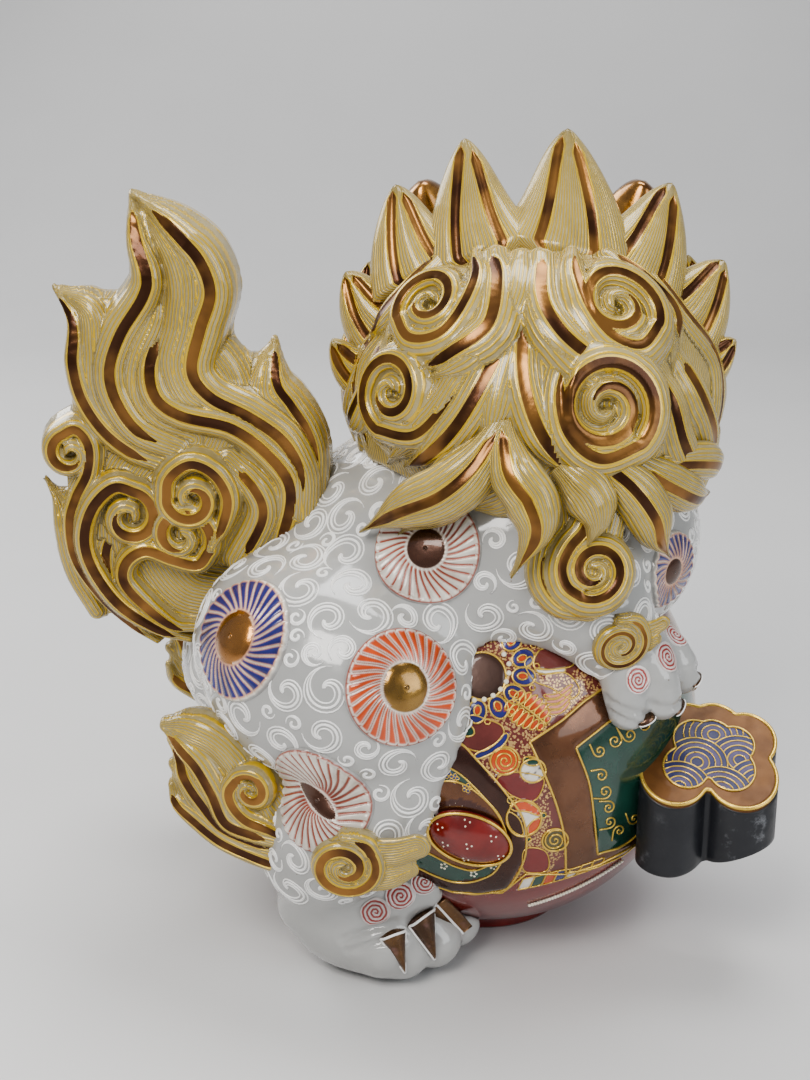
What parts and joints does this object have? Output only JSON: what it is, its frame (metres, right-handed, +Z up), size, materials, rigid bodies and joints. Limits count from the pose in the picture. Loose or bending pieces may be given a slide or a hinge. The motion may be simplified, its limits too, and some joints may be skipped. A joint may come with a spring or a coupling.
{
  "type": "foo dog statue",
  "caption": "Enamelled porcelain guardian lion draped over a brocade ball, head turned aside, flame mane and upswept plume tail.",
  "frame": {"origin": "centre of the ball's foot, on the table it stands on", "axes": "+Z up; +X the way the lion's chest points, tail towards -X; +Y the side its face is turned to"},
  "size_m": [0.3302, 0.2378, 0.3642],
  "materials": {
    "white_glaze": "gloss",
    "copper_lustre": "satin",
    "red_enamel": "gloss",
    "ivory_enamel": "gloss",
    "eye_enamel": "gloss",
    "ear_copper": "gloss",
    "gilt_hair": "gloss",
    "ball_enamel": "gloss",
    "maroon_enamel": "gloss",
    "black_glaze": "matte",
    "blue_wave_enamel": "gloss",
    "kiku_blue": "gloss",
    "kiku_orange": "gloss",
    "kiku_white": "gloss"
  },
  "bodies": {
    "root": {"torso": "white_glaze", "haunch_right": "white_glaze", "haunch_left": "white_glaze", "hind_leg_right": "white_glaze", "hind_leg_left": "white_glaze", "hind_paw_right": "white_glaze", "hind_paw_left": "white_glaze", "foreleg_right": "white_glaze", "foreleg_left": "white_glaze", "fore_paw_right": "white_glaze", "fore_paw_left": "white_glaze", "claws_hind_right": "copper_lustre", "claws_hind_left": "copper_lustre", "claws_fore_right": "copper_lustre", "claws_fore_left": "copper_lustre", "head": "white_glaze", "muzzle": "white_glaze", "lower_jaw": "white_glaze", "tongue": "red_enamel", "teeth": "ivory_enamel", "eye_right": "eye_enamel", "eye_left": "eye_enamel", "brows": "gilt_hair", "ear_right": "ear_copper", "ear_left": "ear_copper", "beard": "gilt_hair", "mane_cap": "gilt_hair", "mane_crest": "gilt_hair", "mane_curls_upper": "gilt_hair", "mane_curls_lower": "gilt_hair", "mane_locks": "gilt_hair", "mane_nape": "gilt_hair", "mane_cheeks": "gilt_hair", "tail_plume": "gilt_hair", "tail_flame_left": "gilt_hair", "tail_flame_right": "gilt_hair", "tail_curls": "gilt_hair", "tail_sweep": "gilt_hair", "tuft_hock_right": "gilt_hair", "tuft_hock_left": "gilt_hair", "tuft_ankle_right": "gilt_hair", "tuft_ankle_left": "gilt_hair", "tuft_wrist_right": "gilt_hair", "tuft_wrist_left": "gilt_hair", "ball": "ball_enamel", "ball_foot": "maroon_enamel", "ball_cabochon": "red_enamel", "ribbon_neck": "black_glaze", "ribbon_knot": "black_glaze", "knot_cap": "blue_wave_enamel", "kiku_hip_right": "kiku_blue", "kiku_thigh_right": "kiku_orange", "kiku_shank_right": "kiku_white", "kiku_shoulder_right": "kiku_white", "kiku_breast_right": "kiku_blue", "kiku_hip_left": "kiku_orange", "kiku_thigh_left": "kiku_blue", "kiku_shoulder_left": "kiku_white"}
  },
  "joints": []
}
